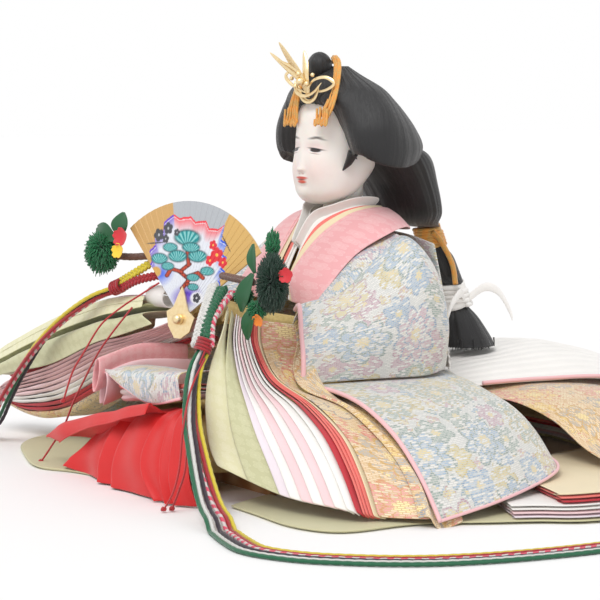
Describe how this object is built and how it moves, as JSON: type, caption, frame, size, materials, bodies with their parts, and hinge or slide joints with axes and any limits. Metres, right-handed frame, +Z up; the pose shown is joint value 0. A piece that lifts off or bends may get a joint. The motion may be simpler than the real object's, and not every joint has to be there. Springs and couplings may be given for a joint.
{
  "type": "hina doll",
  "caption": "Seated court lady doll in layered robes and red trousers, holding an open painted fan with silk tassels and long cords; the head lifts off its peg and turns.",
  "frame": {"origin": "on the floor, on the underside of the base board, straight below the neck", "axes": "+Z up, -Y the way the doll faces, +X towards the doll's own left hand"},
  "size_m": [0.4035, 0.3727, 0.1983],
  "materials": {
    "base_board": "planed pine",
    "body_core": "bound straw",
    "hand_left": "polished shell white",
    "hand_right": "polished shell white",
    "cuff_right": "plain white silk",
    "jacket_sleeve_left": "pale blue flowered brocade",
    "jacket_sleeve_right": "pale blue flowered brocade",
    "lapels": "pink figured silk",
    "collar_gold": "cream and gold brocade",
    "collar_red": "coral silk",
    "collar_white": "white figured silk",
    "jacket_back": "pale blue flowered brocade",
    "robe_blue_left": "pale blue flowered brocade",
    "robe_gold_left": "gold flowered brocade",
    "robe_coral_left": "coral figured silk",
    "robe_dark_red_left": "dark red silk",
    "robe_white_left": "white silk",
    "robe_pink_left": "pale pink silk",
    "robe_lavender_left": "pale lavender silk",
    "robe_green_left": "pale green figured silk",
    "robe_blue_right": "pale blue flowered brocade",
    "robe_gold_right": "gold flowered brocade",
    "robe_red_right": "dark red silk",
    "robe_white_right": "white silk",
    "robe_green_right": "pale green figured silk",
    "lining_green_right": "pale green figured silk",
    "lining_mauve_right": "dusty pink silk",
    "lining_pink_right": "pale pink silk",
    "lining_white_right": "white silk",
    "lining_red_right": "dark red silk",
    "lining_gold_right": "gold flowered brocade",
    "robe_fronts": "pale blue flowered brocade",
    "jacket_front_right": "pink figured silk",
    "hakama_left": "bright red silk",
    "hakama_right": "bright red silk",
    "hem_olive": "olive figured silk",
    "hem_white": "white and pale pink silk",
    "hem_red": "dark red and coral silk",
    "train_gold": "gold flowered brocade",
    "mo": "pleated white silk",
    "waist_tie": "white silk",
    "head": "polished shell white",
    "neck_peg": "plain pine",
    "hair_main": "combed black silk thread",
    "hair_tie_gold": "gold foil ribbon",
    "hair_lower": "combed black silk thread",
    "hair_tie_white": "white paper ribbon",
    "hair_tail": "combed black silk thread",
    "tiara": "gilt",
    "forehead_cord": "twisted orange silk",
    "fan_leaf": "painted and gilded",
    "fan_plate": "gilt",
    "ornament_left": "green silk thread",
    "ornament_right": "green silk thread",
    "cords_left": "twisted silk, six colours",
    "cords_right": "twisted silk, five colours",
    "braid_left": "braided silk",
    "braid_right": "braided silk",
    "thread_left": "red silk thread",
    "thread_right": "red silk thread"
  },
  "bodies": {
    "figure": {"base_board": "base_board", "body_core": "body_core", "hand_left": "hand_left", "hand_right": "hand_right", "cuff_right": "cuff_right", "jacket_sleeve_left": "jacket_sleeve_left", "jacket_sleeve_right": "jacket_sleeve_right", "lapels": "lapels", "collar_gold": "collar_gold", "collar_red": "collar_red", "collar_white": "collar_white", "jacket_back": "jacket_back", "robe_blue_left": "robe_blue_left", "robe_gold_left": "robe_gold_left", "robe_coral_left": "robe_coral_left", "robe_dark_red_left": "robe_dark_red_left", "robe_white_left": "robe_white_left", "robe_pink_left": "robe_pink_left", "robe_lavender_left": "robe_lavender_left", "robe_green_left": "robe_green_left", "robe_blue_right": "robe_blue_right", "robe_gold_right": "robe_gold_right", "robe_red_right": "robe_red_right", "robe_white_right": "robe_white_right", "robe_green_right": "robe_green_right", "lining_green_right": "lining_green_right", "lining_mauve_right": "lining_mauve_right", "lining_pink_right": "lining_pink_right", "lining_white_right": "lining_white_right", "lining_red_right": "lining_red_right", "lining_gold_right": "lining_gold_right", "robe_fronts": "robe_fronts", "jacket_front_right": "jacket_front_right", "hakama_left": "hakama_left", "hakama_right": "hakama_right", "hem_olive": "hem_olive", "hem_white": "hem_white", "hem_red": "hem_red", "train_gold": "train_gold", "mo": "mo", "waist_tie": "waist_tie", "fan_leaf": "fan_leaf", "fan_plate": "fan_plate", "ornament_left": "ornament_left", "ornament_right": "ornament_right", "cords_left": "cords_left", "cords_right": "cords_right", "braid_left": "braid_left", "braid_right": "braid_right", "thread_left": "thread_left", "thread_right": "thread_right"},
    "neck": {"neck_peg": "neck_peg"},
    "head": {"head": "head", "hair_main": "hair_main", "hair_tie_gold": "hair_tie_gold", "hair_lower": "hair_lower", "hair_tie_white": "hair_tie_white", "hair_tail": "hair_tail", "tiara": "tiara", "forehead_cord": "forehead_cord"}
  },
  "joints": [
    {"name": "head_lift", "type": "slide", "parent": "figure", "child": "neck", "axis": [0, 0, 1], "range_m": [0, 0.03]},
    {"name": "head_turn", "type": "hinge", "parent": "neck", "child": "head", "pos_m": [0, 0, 0.112], "axis": [0, 0, 1], "range_deg": [-12, 12]}
  ]
}
